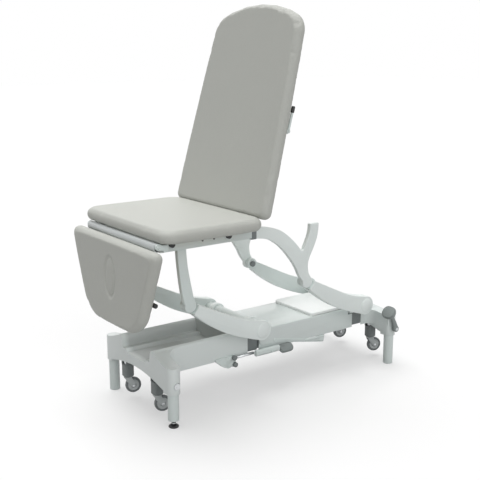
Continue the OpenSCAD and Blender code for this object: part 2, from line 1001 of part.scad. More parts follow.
// Ring of a cushion: its outline moved in by d, then shrunk towards c by k, at height z
function ring(p, c, d, k, z) = [for (i = [0:len(p) - 1]) let (
    n = len(p),
    t = unit(p[(i + 1) % n] - p[(i + n - 1) % n]),
    q = p[i] + d * [-t[1], t[0]],
    s = c + (q - c) * k)
    [s[0], s[1], z]];

// Padded cushion from z = -t / 2: flat back, round sides and a crowned face
module cushion(p, c, t, crown) {
    n = len(p);
    e = t / 2;
    steps = [[0.80 * e, 1, -e], [0.32 * e, 1, -0.86 * e], [0.06 * e, 1, -0.45 * e], [0, 1, 0],
        [0.07 * e, 1, 0.45 * e], [0.34 * e, 1, 0.85 * e], [0.85 * e, 1, e], [0.95 * e, 0.93, e + 0.30 * crown],
        [e, 0.78, e + 0.62 * crown], [e, 0.5, e + 0.88 * crown], [e, 0.2, e + crown]];
    m = len(steps);
    pts = [for (s = steps) each ring(p, c, s[0], s[1], s[2])];
    sides = [for (j = [0:m - 2], i = [0:n - 1]) each let (
        a = j * n + i,
        b = j * n + (i + 1) % n)
        [[a, a + n, b + n], [a, b + n, b]]];
    caps = [[for (i = [0:n - 1]) i], [for (i = [n - 1:-1:0]) (m - 1) * n + i]];
    polyhedron(pts, concat(sides, caps), convexity = 4);
}

seat_x0 = -721;
seat_x1 = -217;
seat_corners = [[seat_x0, -seat_y], [seat_x1, -seat_y], [seat_x1, seat_y], [seat_x0, seat_y]];
back_top = 697;
function back_arc(y) = [back_len - back_top + sqrt(back_top * back_top - y * y), y];
back_half = [[-back_t / 2, -348], [510, -322], back_arc(-305), back_arc(-200), back_arc(-100)];
back_corners = concat(back_half, [back_arc(0)], [for (i = [4:-1:0]) [back_half[i][0], -back_half[i][1]]]);
back_radii = [30, 400, 84, 300, 300, 300, 300, 300, 84, 400, 30];
leg_corners = [[-25, -368], [353, -216], [353, 216], [-25, 368]];
leg_radii = [30, 136, 136, 30];

// Local frame of the backrest: +X up the cushion from its nose, +Z out of its face
module back_place() {
    translate([-205, 0, 868])
        rotate([0, -back_angle, 0])
            children();
}

// Local frame of the leg section: +X down from its nose, -Z out of its face
module leg_place() {
    translate([-747, 0, 757])
        rotate([0, 90 + leg_kick, 0])
            children();
}

module seat_cushion() {
    put(vinyl)
        translate([0, 0, seat_z + (seat_t - 5) / 2])
            cushion(outline(seat_corners, [60, 60, 60, 60], 6, 6, 3), [(seat_x0 + seat_x1) / 2, 0], seat_t - 5, 5);
}

module back_cushion() {
    put(vinyl)
        back_place()
            cushion(outline(back_corners, back_radii, 4, 3, 2), [430, 0], back_t, 5);
}

module leg_cushion() {
    put(vinyl)
        leg_place()
            mirror([0, 0, 1])
                cushion(outline(leg_corners, leg_radii, 7, 6, 2), [150, 0], leg_t, 4);
}

// Ellipse with half axes a and b
module oval(a, b) {
    polygon([for (i = [0:71]) [a * cos(5 * i), b * sin(5 * i)]]);
}

// Oval plug pressed into the face of the leg section
module breather_plug() {
    put(vinyl)
        leg_place()
            translate([139, 0, -leg_t / 2 - 6]) {
                translate([0, 0, 1.4])
                    linear_extrude(10)
                        oval(87, 47);
                linear_extrude(3)
                    oval(84.5, 44.5);
            }
}

// Boards behind the two tilting cushions
function board_arc(y) = back_arc(y) - [50, 0];
board_half = [[12, -298], [510, -273], board_arc(-256), board_arc(-170), board_arc(-85)];
board_corners = concat(board_half, [board_arc(0)], [for (i = [4:-1:0]) [board_half[i][0], -board_half[i][1]]]);

module back_board() {
    put(ply)
        back_place()
            translate([0, 0, -back_t / 2 - 8])
                linear_extrude(8)
                    polygon(outline(board_corners, [20, 300, 50, 200, 200, 200, 200, 200, 50, 300, 20], 4, 0, 0));
}

module leg_board() {
    put(ply)
        leg_place()
            translate([0, 0, leg_t / 2])
                linear_extrude(8)
                    polygon(outline([[12, -304], [304, -186], [304, 186], [12, 304]], [20, 90, 90, 20], 7, 0, 0));
}

// Backrest frame: side tubes, cross tubes, hinge sleeve with curved lugs, strut crank and lever bracket
module back_frame() {
    z0 = -back_t / 2 - 8;
    put(paint)
        difference() {
            union() {
                bar_y(back_px, back_pz, 14, -188, 188);
                back_place() {
                    both() {
                        box([130, 212, z0 - 21], [600, 235, z0]);
                        across(150, 175)
                            polygon(concat(curve([[-69, -26], [-58, -46], [-22, z0 - 21]]),
                                [[620, z0 - 21], [620, z0]], curve([[2, z0], [-24, -31], [-43, -18]])));
                    }
                    for (x = [140, 360, 580])
                        box([x - 10, -213, z0 - 20], [x + 10, 213, z0]);
                    box([352, -299, z0 - 13], [378, -213, z0]);
                    bar_y(365, z0 - 7, 5, -311, -298);
                }
                for (y = [-66, -42])
                    across(y, y + 8)
                        stadium([back_px, back_pz], back_pin, 11);
                bar_y(back_pin[0], back_pin[1], 6, -66, -34);
            }
            bar_y(back_px, back_pz, 10 + run, -200, 200);
        }
}

// Release lever at the near edge of the backrest
module back_release_lever() {
    z = -back_t / 2 - 15;
    put(paint)
        back_place()
            across(-310, -301)
                difference() {
                    union() {
                        translate([365, z - 5])
                            square([79, 10]);
                        translate([365, z])
                            circle(9);
                    }
                    translate([365, z])
                        circle(5 + run);
                }
}

// Black grip on the end of the backrest lever
module back_lever_grip() {
    z = -back_t / 2 - 15;
    put(black)
        back_place()
            translate([444, -306, z])
                rotate([0, 90, 0])
                    rotate_extrude()
                        polygon([[0, 0], [6, 0], [8, 2], [8, 25], [6, 28], [0, 28]]);
}

// Leg section frame: bars on a square sleeve around the hinge tube, strut crank and lever bracket
module leg_frame() {
    z0 = leg_t / 2 + 8;
    put(paint)
        difference() {
            union() {
                across(-285, 285)
                    translate([leg_px, leg_pz])
                        soft_rect(24, 24, 8);
                leg_place() {
                    both()
                        box([-34, 150, z0], [290, 172, z0 + 17]);
                    box([255, -151, z0], [277, 151, z0 + 16]);
                    box([120, -151, z0], [140, 151, z0 + 12]);
                    box([202, -196, z0 + 13], [230, -171, z0 + 17]);
                    translate([216, -185, z0 + 2])
                        cylinder(r = 5, h = 12);
                }
                for (y = [34, 58])
                    across(y, y + 8)
                        stadium([leg_px, leg_pz], leg_pin, 10);
                bar_y(leg_pin[0], leg_pin[1], 6, 34, 66);
            }
            bar_y(leg_px, leg_pz, 9 + run, -290, 290);
        }
}

// Sliding rod of the leg section's strut
module leg_strut_rod() {
    put(steel)
        strut_rod(50, 752, leg_pin[0], leg_pz - leg_crank, leg_pin[1], 7.8, leg_pin[0] + 16, -500, 9);
}

// Release lever behind the near edge of the leg section
module leg_release_lever() {
    z = leg_t / 2 + 8;
    put(black)
        leg_place() {
            translate([216, 0, z + 3])
                linear_extrude(9)
                    difference() {
                        stadium([0, -185], [0, -226], 8);
                        translate([0, -185])
                            circle(5 + run);
                    }
            bar_y(216, z + 10.5, 10, -254, -228);
        }
}

chassis_beam();
pivot_bearings();
front_base_cover();
middle_base_cover();
deck_lid();
rear_base_cover();
leg_tubes();
leg_end_caps();
castor_housings();
pedal_brackets();
actuator_body();
levelling_foot();
castor_stem_fn();
castor_stem_ff();
castor_stem_rn();
castor_stem_rf();
castor_fork_fn();
castor_fork_ff();
castor_fork_rn();
castor_fork_rf();
castor_wheel_fn();
castor_wheel_ff();
castor_wheel_rn();
castor_wheel_rf();
rear_castor_shaft();
castor_pedal();
front_castor_shaft();
castor_link_rod();
lift_pedal_bar();
lift_pedal_pad();
front_arm_frame();
front_arm_covers();
rear_arm_frame();
rear_arm_covers();
actuator_rod();
seat_frame();
front_legs();
rear_arches();
rail_joint_blocks();
knee_pins();
leg_hinge_tube();
back_hinge_tube();
seat_board();
seat_cushion();
accessory_knobs();
back_strut_tube();
leg_strut_tube();
back_strut_rod();
leg_strut_rod();
back_frame();
back_board();
back_cushion();
back_release_lever();
back_lever_grip();
leg_frame();
leg_board();
leg_cushion();
breather_plug();
leg_release_lever();
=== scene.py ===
"""Examination couch: finishes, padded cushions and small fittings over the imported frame."""

import json
import math

import bmesh
import bpy
from mathutils import Matrix, Vector
from mathutils.bvhtree import BVHTree


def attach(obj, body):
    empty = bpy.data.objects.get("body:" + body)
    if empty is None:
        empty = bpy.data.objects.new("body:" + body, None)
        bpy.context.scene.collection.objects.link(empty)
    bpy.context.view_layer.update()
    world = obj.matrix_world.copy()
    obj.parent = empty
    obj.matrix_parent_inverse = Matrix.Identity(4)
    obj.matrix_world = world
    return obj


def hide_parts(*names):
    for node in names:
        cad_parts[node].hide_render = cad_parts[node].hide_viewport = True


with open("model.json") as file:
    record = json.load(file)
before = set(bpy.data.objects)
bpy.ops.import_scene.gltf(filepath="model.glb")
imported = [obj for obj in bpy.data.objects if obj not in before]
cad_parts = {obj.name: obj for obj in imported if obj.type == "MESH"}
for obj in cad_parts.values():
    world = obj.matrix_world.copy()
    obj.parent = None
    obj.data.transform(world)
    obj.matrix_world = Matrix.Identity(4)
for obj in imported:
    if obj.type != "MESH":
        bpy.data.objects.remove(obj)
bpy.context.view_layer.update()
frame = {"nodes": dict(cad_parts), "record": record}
nodes = frame["nodes"]
scene = bpy.context.scene
scene.view_settings.view_transform = "Standard"

MM = 0.001
# Places and sizes of the couch in its own millimetres, from the middle between the four legs
ORIGIN_X = 44.61
LEG_END_X = 636
CASTOR_Y = 128
CASTOR_TRAIL = 22
WHEEL_Z = 60
FRONT_PIVOT_X = -145
REAR_PIVOT_X = 496
PIVOT_Z = 319.5
ARM_FACE_Y = 235
RAIL_FACE_Y = 238
LEG_HINGE_X = -713
LEG_HINGE_Z = 792
LEG_HINGE_END_Y = 295
REAR_TUBE_R = 24.0
TROUGH_FRONT_X = -640
TROUGH_HALF = 134.5
CENTRE = 0.001

RIDES = {}
for body_name, body_nodes in frame["record"]["behaviour"]["bodies"].items():
    for node_name in body_nodes:
        RIDES[node_name] = body_name
SLOTS = {part["node"]: part["material_slot"] for part in frame["record"]["subparts"]}


def place(x, y, z):
    """Point in the couch's own millimetres (origin between the four legs) as metres in the row frame."""
    return Vector(((x + ORIGIN_X) * MM, y * MM, z * MM))


def local_frame(origin, x_axis, z_axis):
    """Matrix from a cushion's own millimetres to metres in the row frame."""
    x_axis = Vector(x_axis).normalized()
    z_axis = Vector(z_axis).normalized()
    y_axis = z_axis.cross(x_axis)
    turn = Matrix((x_axis, y_axis, z_axis)).transposed().to_4x4()
    return Matrix.Translation(place(*origin)) @ turn @ Matrix.Scale(MM, 4)


def side_name(side):
    return "near" if side < 0 else "far"


SEAT_FRAME = local_frame((0, 0, 806), (1, 0, 0), (0, 0, 1))
BACK_TILT = math.radians(75)
BACK_FRAME = local_frame((-205, 0, 868), (math.cos(BACK_TILT), 0, math.sin(BACK_TILT)),
                         (-math.sin(BACK_TILT), 0, math.cos(BACK_TILT)))
LEG_TILT = math.radians(1)
LEG_FRAME = local_frame((-747, 0, 757), (-math.sin(LEG_TILT), 0, -math.cos(LEG_TILT)),
                        (-math.cos(LEG_TILT), 0, math.sin(LEG_TILT)))


# Finishes

def node_group(name, inputs, outputs):
    """Empty shader node group with float or vector inputs and outputs."""
    group = bpy.data.node_groups.new(name, "ShaderNodeTree")
    for label, kind, value in inputs:
        socket = group.interface.new_socket(label, in_out="INPUT", socket_type=kind)
        if value is not None:
            socket.default_value = value
    for label, kind in outputs:
        group.interface.new_socket(label, in_out="OUTPUT", socket_type=kind)
    return group, group.nodes.new("NodeGroupInput"), group.nodes.new("NodeGroupOutput")


def noise_node(tree, detail, rough):
    noise = tree.nodes.new("ShaderNodeTexNoise")
    noise.inputs["Detail"].default_value = detail
    noise.inputs["Roughness"].default_value = rough
    return noise


def build_surface_group():
    """Broad uneven tone and a fine surface texture, for paint and mouldings."""
    group, inside, outside = node_group(
        "surface_variation",
        [("Vector", "NodeSocketVector", None), ("Patch Scale", "NodeSocketFloat", 5.0),
         ("Grain Scale", "NodeSocketFloat", 700.0)],
        [("Tone", "NodeSocketFloat"), ("Height", "NodeSocketFloat")])
    patch = noise_node(group, 4.0, 0.55)
    grain = noise_node(group, 2.0, 0.5)
    links = group.links
    links.new(inside.outputs["Vector"], patch.inputs["Vector"])
    links.new(inside.outputs["Patch Scale"], patch.inputs["Scale"])
    links.new(inside.outputs["Vector"], grain.inputs["Vector"])
    links.new(inside.outputs["Grain Scale"], grain.inputs["Scale"])
    links.new(patch.outputs["Fac"], outside.inputs["Tone"])
    links.new(grain.outputs["Fac"], outside.inputs["Height"])
    return group


def build_hide_group():
    """Pebbled grain of upholstery vinyl: small cells with soft creases between them."""
    group, inside, outside = node_group(
        "vinyl_grain",
        [("Vector", "NodeSocketVector", None), ("Cell Scale", "NodeSocketFloat", 420.0)],
        [("Tone", "NodeSocketFloat"), ("Crease", "NodeSocketFloat"), ("Height", "NodeSocketFloat")])
    links = group.links
    warp = noise_node(group, 2.0, 0.5)
    warp.inputs["Scale"].default_value = 160.0
    shift = group.nodes.new("ShaderNodeVectorMath")
    shift.operation = "MULTIPLY_ADD"
    shift.inputs[1].default_value = (0.0022, 0.0022, 0.0022)
    cells = group.nodes.new("ShaderNodeTexVoronoi")
    cells.feature = "DISTANCE_TO_EDGE"
    crease = group.nodes.new("ShaderNodeMapRange")
    crease.inputs["From Max"].default_value = 0.22
    patch = noise_node(group, 4.0, 0.6)
    patch.inputs["Scale"].default_value = 4.0
    links.new(inside.outputs["Vector"], warp.inputs["Vector"])
    links.new(warp.outputs["Color"], shift.inputs[0])
    links.new(inside.outputs["Vector"], shift.inputs[2])
    links.new(shift.outputs["Vector"], cells.inputs["Vector"])
    links.new(inside.outputs["Cell Scale"], cells.inputs["Scale"])
    links.new(cells.outputs["Distance"], crease.inputs["Value"])
    links.new(inside.outputs["Vector"], patch.inputs["Vector"])
    links.new(patch.outputs["Fac"], outside.inputs["Tone"])
    links.new(crease.outputs["Result"], outside.inputs["Crease"])
    links.new(crease.outputs["Result"], outside.inputs["Height"])
    return group


SURFACE = build_surface_group()
HIDE = build_hide_group()


def empty_material(name):
    material = bpy.data.materials.new(name)
    material.use_nodes = True
    tree = material.node_tree
    return material, tree, tree.nodes["Principled BSDF"], tree.nodes.new("ShaderNodeTexCoord")


def mix_colours(tree, low, high):
    mix = tree.nodes.new("ShaderNodeMix")
    mix.data_type = "RGBA"
    mix.inputs[6].default_value = (*low, 1.0)
    mix.inputs[7].default_value = (*high, 1.0)
    return mix


def remap(tree, source, low, high, start=0.3, end=0.7):
    span = tree.nodes.new("ShaderNodeMapRange")
    span.inputs["From Min"].default_value = start
    span.inputs["From Max"].default_value = end
    span.inputs["To Min"].default_value = low
    span.inputs["To Max"].default_value = high
    tree.links.new(source, span.inputs["Value"])
    return span.outputs["Result"]


def bump_from(tree, height, distance, strength, shader):
    bump = tree.nodes.new("ShaderNodeBump")
    bump.inputs["Distance"].default_value = distance
    bump.inputs["Strength"].default_value = strength
    tree.links.new(height, bump.inputs["Height"])
    tree.links.new(bump.outputs["Normal"], shader.inputs["Normal"])


def coated(name, colour, roughness, spread=0.03, patch=5.0, grain=700.0, relief=0.25, metallic=0.0, coat=0.0):
    """Paint, moulding or cast surface with an uneven tone and a fine texture."""
    material, tree, shader, coords = empty_material(name)
    surface = tree.nodes.new("ShaderNodeGroup")
    surface.node_tree = SURFACE
    surface.inputs["Patch Scale"].default_value = patch
    surface.inputs["Grain Scale"].default_value = grain
    tree.links.new(coords.outputs["Object"], surface.inputs["Vector"])
    low = [max(0.0, channel * (1.0 - spread)) for channel in colour]
    high = [min(1.0, channel * (1.0 + spread)) for channel in colour]
    mix = mix_colours(tree, low, high)
    tree.links.new(surface.outputs["Tone"], mix.inputs[0])
    tree.links.new(mix.outputs[2], shader.inputs["Base Color"])
    tree.links.new(remap(tree, surface.outputs["Tone"], roughness * 0.88, roughness * 1.12),
                   shader.inputs["Roughness"])
    bump_from(tree, surface.outputs["Height"], 0.0004, relief, shader)
    shader.inputs["Metallic"].default_value = metallic
    shader.inputs["Coat Weight"].default_value = coat
    shader.inputs["Coat Roughness"].default_value = 0.12
    return material


def moulding_with_painted_trough_shade(name, colour, painted_trough_shade_tone):
    """Moulded cover whose open trough is coloured darker than its outside, a painted shade for the shade that
    falls in the trough.
    """
    material = coated(name, colour, 0.34, 0.02, 4.0, 1400.0, 0.12, coat=0.15)
    tree = material.node_tree
    shader = tree.nodes["Principled BSDF"]
    outside = shader.inputs["Base Color"].links[0].from_socket
    coords = tree.nodes.new("ShaderNodeTexCoord")
    parts = tree.nodes.new("ShaderNodeSeparateXYZ")
    tree.links.new(coords.outputs["Object"], parts.inputs["Vector"])
    across = tree.nodes.new("ShaderNodeMath")
    across.operation = "ABSOLUTE"
    tree.links.new(parts.outputs["Y"], across.inputs[0])
    rim_edge = TROUGH_HALF * MM
    front_edge = place(TROUGH_FRONT_X, 0, 0).x
    between_rims = remap(tree, across.outputs[0], 1.0, 0.0, rim_edge - 6.5 * MM, rim_edge + 6.5 * MM)
    behind_front = remap(tree, parts.outputs["X"], 0.0, 1.0, front_edge - 12 * MM, front_edge + 12 * MM)
    trough_shade_mask = tree.nodes.new("ShaderNodeMath")
    trough_shade_mask.operation = "MULTIPLY"
    tree.links.new(between_rims, trough_shade_mask.inputs[0])
    tree.links.new(behind_front, trough_shade_mask.inputs[1])
    # Painted shade: inside the trough mask the colour is darkened by the shade tone.
    mix = mix_colours(tree, colour, [channel * painted_trough_shade_tone for channel in colour])
    tree.links.new(trough_shade_mask.outputs[0], mix.inputs[0])
    tree.links.new(outside, mix.inputs[6])
    tree.links.new(mix.outputs[2], shader.inputs["Base Color"])
    return material


def upholstery(name, colour):
    """Matt upholstery vinyl with a pebbled grain, its creases between cells darkened in colour as painted shade.
    """
    material, tree, shader, coords = empty_material(name)
    hide = tree.nodes.new("ShaderNodeGroup")
    hide.node_tree = HIDE
    tree.links.new(coords.outputs["Object"], hide.inputs["Vector"])
    tone = mix_colours(tree, [c * 0.965 for c in colour], [min(1.0, c * 1.03) for c in colour])
    tree.links.new(hide.outputs["Tone"], tone.inputs[0])
    # Painted shade: the colour is darker in the creases between the grain's cells.
    crease_shade = mix_colours(tree, [c * 0.86 for c in colour], colour)
    tree.links.new(hide.outputs["Crease"], crease_shade.inputs[0])
    tree.links.new(tone.outputs[2], crease_shade.inputs[7])
    tree.links.new(crease_shade.outputs[2], shader.inputs["Base Color"])
    tree.links.new(remap(tree, hide.outputs["Crease"], 0.62, 0.5, 0.0, 1.0), shader.inputs["Roughness"])
    bump_from(tree, hide.outputs["Height"], 0.0003, 0.35, shader)
    shader.inputs["Specular IOR Level"].default_value = 0.35
    return material


def drawn_steel(name, colour, stretch):
    """Bright bar with fine lines along its length."""
    material, tree, shader, coords = empty_material(name)
    mapping = tree.nodes.new("ShaderNodeMapping")
    mapping.inputs["Scale"].default_value = stretch
    surface = tree.nodes.new("ShaderNodeGroup")
    surface.node_tree = SURFACE
    surface.inputs["Patch Scale"].default_value = 260.0
    surface.inputs["Grain Scale"].default_value = 900.0
    tree.links.new(coords.outputs["Object"], mapping.inputs["Vector"])
    tree.links.new(mapping.outputs["Vector"], surface.inputs["Vector"])
    mix = mix_colours(tree, [c * 0.88 for c in colour], colour)
    tree.links.new(surface.outputs["Tone"], mix.inputs[0])
    tree.links.new(mix.outputs[2], shader.inputs["Base Color"])
    tree.links.new(remap(tree, surface.outputs["Tone"], 0.26, 0.42), shader.inputs["Roughness"])
    bump_from(tree, surface.outputs["Height"], 0.0002, 0.2, shader)
    shader.inputs["Metallic"].default_value = 1.0
    return material


def plywood(name):
    """Sealed birch board with long grain."""
    material, tree, shader, coords = empty_material(name)
    mapping = tree.nodes.new("ShaderNodeMapping")
    mapping.inputs["Scale"].default_value = (1.0, 9.0, 9.0)
    grain = noise_node(tree, 8.0, 0.62)
    grain.inputs["Scale"].default_value = 9.0
    grain.inputs["Distortion"].default_value = 0.8
    ramp = mix_colours(tree, (0.42, 0.29, 0.16), (0.66, 0.51, 0.33))
    tree.links.new(coords.outputs["Object"], mapping.inputs["Vector"])
    tree.links.new(mapping.outputs["Vector"], grain.inputs["Vector"])
    tree.links.new(remap(tree, grain.outputs["Fac"], 0.0, 1.0), ramp.inputs[0])
    tree.links.new(ramp.outputs[2], shader.inputs["Base Color"])
    bump_from(tree, grain.outputs["Fac"], 0.0004, 0.2, shader)
    shader.inputs["Roughness"].default_value = 0.55
    return material


FINISH = {
    # The covers' white is set darker than the front cover's lighter copy of the same moulding: painted shade for
    # the shade under the arms.
    "cover_white": coated("moulded_cover", (0.71, 0.765, 0.75), 0.34, 0.02, 4.0, 1400.0, 0.12, coat=0.15),
    "lid_white": coated("moulded_lid", (0.94, 0.965, 0.955), 0.32, 0.015, 4.0, 1400.0, 0.12, coat=0.15),
    "frame_paint": coated("pale_frame_paint", (0.74, 0.81, 0.79), 0.36, 0.02, 7.0, 600.0, 0.18, coat=0.1),
    "arm_paint": coated("pale_arm_paint", (0.87, 0.93, 0.91), 0.35, 0.02, 7.0, 600.0, 0.18, coat=0.1),
    "dark_metal": coated("dark_chassis_paint", (0.19, 0.21, 0.21), 0.5, 0.08, 12.0, 500.0, 0.35),
    "grey_metal": coated("castor_plate_zinc", (0.56, 0.59, 0.59), 0.38, 0.06, 10.0, 500.0, 0.25),
    "dark_plastic": coated("castor_housing_grain", (0.21, 0.23, 0.23), 0.55, 0.06, 14.0, 420.0, 0.4),
    "grey_plastic": coated("pedal_grain", (0.27, 0.30, 0.295), 0.5, 0.05, 14.0, 420.0, 0.45),
    "black_plastic": coated("black_knob_grain", (0.012, 0.012, 0.013), 0.42, 0.1, 20.0, 500.0, 0.3),
    "wheel_grey": coated("castor_tyre", (0.19, 0.205, 0.21), 0.6, 0.08, 25.0, 350.0, 0.3),
    "steel": drawn_steel("drawn_steel_bar", (0.62, 0.64, 0.65), (0.04, 1.0, 1.0)),
    "plywood": plywood("sealed_board"),
    "vinyl": upholstery("grey_vinyl", (0.58, 0.59, 0.55)),
    "vinyl_plug": upholstery("grey_vinyl_plug", (0.565, 0.575, 0.535)),
}

for node_name, node_object in nodes.items():
    node_object.data.materials.clear()
    node_object.data.materials.append(FINISH[SLOTS[node_name]])


# Pieces

def add_piece(name, mesh_builder, node_name, slot_name=None, replaced=True):
    """Piece from a bmesh builder that rides with a node's body and takes its place."""
    mesh = bpy.data.meshes.new(name)
    piece = bpy.data.objects.new(name, mesh)
    scene.collection.objects.link(piece)
    shape = bmesh.new()
    mesh_builder(shape)
    shape.to_mesh(mesh)
    shape.free()
    mesh.materials.append(FINISH[slot_name or SLOTS[node_name]])
    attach(piece, RIDES[node_name])
    if replaced:
        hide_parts(node_name)
    return piece


def soften(piece, width, segments, angle):
    """Rounds the edges of a rigid piece as paint and moulding do."""
    bevel = piece.modifiers.new("soft_edges", "BEVEL")
    bevel.affect = "EDGES"
    bevel.width = width
    bevel.segments = segments
    bevel.profile = 0.5
    bevel.limit_method = "ANGLE"
    bevel.angle_limit = math.radians(angle)
    bevel.use_clamp_overlap = False
    bevel.harden_normals = True
    piece.data.shade_smooth()
    return bevel


def throws_strays(piece, reach):
    """Whether the rounding throws a point further than its reach from the piece's own faces."""
    faces = [tuple(face.vertices) for face in piece.data.polygons]
    skin = BVHTree.FromPolygons([vert.co for vert in piece.data.vertices], faces)
    rounded = piece.evaluated_get(bpy.context.evaluated_depsgraph_get())
    mesh = rounded.to_mesh()
    stray = any(skin.find_nearest(vert.co)[3] > reach for vert in mesh.vertices)
    rounded.to_mesh_clear()
    return stray


LEAST_ROUND = 0.15 * MM
NARROWER = 0.6
ROUNDED_FROM = 32.0


def rounded_shell(node_name, width, slot_name=None):
    """Copy of a rigid node with its edges rounded, by less where the full width would throw strays."""
    def build(shape):
        shape.from_mesh(nodes[node_name].data)
        bmesh.ops.remove_doubles(shape, verts=shape.verts, dist=0.02 * MM)
        bmesh.ops.dissolve_limit(shape, angle_limit=math.radians(0.6), verts=shape.verts, edges=shape.edges)

    piece = add_piece(node_name + "_skin", build, node_name, slot_name)
    bevel = soften(piece, width * MM, 3, ROUNDED_FROM)
    while bevel.width > LEAST_ROUND and throws_strays(piece, bevel.width):
        bevel.width *= NARROWER
    if bevel.width <= LEAST_ROUND:
        piece.modifiers.remove(bevel)
        piece.data.set_sharp_from_angle(angle=math.radians(ROUNDED_FROM))
    return piece


def ease_tube(piece, x, z, radius, share):
    """Draws in the surface of a turning tube, so that its facets clear those of the bearing around it."""
    axis = place(x, 0, z)
    for vert in piece.data.vertices:
        arm = Vector((vert.co.x - axis.x, 0.0, vert.co.z - axis.z))
        if abs(arm.length - radius * MM) < 0.2 * MM:
            vert.co = Vector((axis.x, vert.co.y, axis.z)) + arm * share


for node_name, width in (
        ("middle_base_cover", 3.0), ("deck_lid", 4.0), ("rear_base_cover", 3.0),
        ("front_arm_covers", 3.0), ("rear_arm_covers", 3.0), ("rear_arches", 3.0),
        ("front_arm_frame", 2.0), ("seat_frame", 2.0), ("castor_housings", 2.5),
        ("lift_pedal_bar", 2.0), ("lift_pedal_pad", 2.5), ("castor_pedal", 2.5), ("rail_joint_blocks", 1.5),
        ("leg_frame", 1.5), ("pedal_brackets", 1.5), ("castor_fork_fn", 0.8), ("castor_fork_ff", 0.8),
        ("castor_fork_rn", 0.8), ("castor_fork_rf", 0.8), ("back_release_lever", 1.5),
        ("leg_release_lever", 2.0)):
    rounded_shell(node_name, width)
# The front legs take the darker frame paint in place of their paler paint: painted shade for the shade under the
# seat.
rounded_shell("front_legs", 3.0, "frame_paint")
rear_arm_skin = rounded_shell("rear_arm_frame", 2.0)
ease_tube(rear_arm_skin, REAR_PIVOT_X, PIVOT_Z, REAR_TUBE_R, 0.985)
front_cover_skin = rounded_shell("front_base_cover", 1.2)
# The front cover takes a lighter copy of the cover white, painted light standing in for light its tops miss under
# the seat, and a darker trough, painted shade.
front_cover_skin.data.materials[0] = moulding_with_painted_trough_shade("front_cover_painted_light_and_shade", (0.78, 0.83, 0.815), 0.68)


# Cushions

def corner_length(corners, number, radius):
    """How far from a corner its rounding of that radius starts along the two sides."""
    here = Vector(corners[number])
    before = here - Vector(corners[number - 1])
    after = Vector(corners[(number + 1) % len(corners)]) - here
    return radius * math.tan(before.angle(after) / 2)


def pad_blank(corners, radii, low, high, edge, matrix):
    """Builder of a flat pad: rounded outline, thickness, and round edges all the way round."""
    def build(shape):
        verts = [shape.verts.new((x, y, low)) for x, y in corners]
        shape.faces.new(verts)
        for number, (vert, radius) in enumerate(zip(verts, radii)):
            if radius:
                bmesh.ops.bevel(shape, geom=[vert], offset=corner_length(corners, number, radius),
                                offset_type="OFFSET", segments=8, profile=0.5, affect="VERTICES", material=-1)
        lifted = bmesh.ops.extrude_face_region(shape, geom=shape.faces[:])
        moved = [item for item in lifted["geom"] if isinstance(item, bmesh.types.BMVert)]
        bmesh.ops.translate(shape, vec=(0, 0, high - low), verts=moved)
        bmesh.ops.recalc_face_normals(shape, faces=shape.faces)
        rims = [e for e in shape.edges if abs(e.verts[0].co.z - e.verts[1].co.z) < 0.01]
        bmesh.ops.bevel(shape, geom=rims, offset=edge, offset_type="OFFSET", segments=6, profile=0.5,
                        affect="EDGES", material=-1)
        bmesh.ops.transform(shape, matrix=matrix, verts=shape.verts)
    return build


def vertex_positions(mesh):
    return [vert.co.copy() for vert in mesh.vertices]


def inflate(piece, voxel, pressure, cap, floor_frame, floor_z):
    """Remeshes a pad, lets cloth under slight pressure swell it, and keeps its back flat on the board."""
    remesh = piece.modifiers.new("remesh", "REMESH")
    remesh.mode = "VOXEL"
    remesh.voxel_size = voxel * MM
    bpy.context.view_layer.objects.active = piece
    bpy.ops.object.modifier_apply(modifier=remesh.name)
    start = vertex_positions(piece.data)
    cloth = piece.modifiers.new("swell", "CLOTH")
    cloth.settings.use_pressure = True
    cloth.settings.uniform_pressure_force = pressure
    cloth.settings.tension_stiffness = 12.0
    cloth.settings.compression_stiffness = 12.0
    cloth.settings.effector_weights.gravity = 0.0
    cloth.point_cache.frame_start = 1
    cloth.point_cache.frame_end = 20
    for step in range(1, 21):
        scene.frame_set(step)
    bpy.ops.object.modifier_apply(modifier=cloth.name)
    scene.frame_set(1)
    inverse = floor_frame.inverted()
    for vert, origin in zip(piece.data.vertices, start):
        local = inverse @ origin
        rise = (inverse @ vert.co).z - local.z
        local.z = max(floor_z, local.z + max(-cap, min(cap, rise)))
        vert.co = floor_frame @ local
    piece.data.shade_smooth()


def add_smooth(piece):
    smooth = piece.modifiers.new("fine", "SUBSURF")
    smooth.levels = 1
    smooth.render_levels = 1


def cushion(name, node_name, corners, radii, low, high, edge, matrix, voxel):
    piece = add_piece(name, pad_blank(corners, radii, low, high, edge, matrix), node_name)
    inflate(piece, voxel, 4.0, 5.0, matrix, low)
    return piece


SEAT_HALF = 352
seat_pad = cushion("seat_pad", "seat_cushion",
                   [(-720, -SEAT_HALF), (-218, -SEAT_HALF), (-218, SEAT_HALF), (-720, SEAT_HALF)],
                   (60, 60, 60, 60), 0.5, 49.5, 22, SEAT_FRAME, 6.0)
add_smooth(seat_pad)

BACK_RIM = 697.0


def back_arc(y):
    return (904 - BACK_RIM + math.sqrt(BACK_RIM ** 2 - y * y), y)


near_side = [(-23, -347), (510, -321), back_arc(-304), back_arc(-200), back_arc(-100)]
far_side = [(x, -y) for x, y in reversed(near_side)]
back_pad = cushion("back_pad", "back_cushion", near_side + [back_arc(0)] + far_side,
                   (30, 0, 84, 0, 0, 0, 0, 0, 84, 0, 30), -23.5, 24, 21, BACK_FRAME, 6.0)
add_smooth(back_pad)

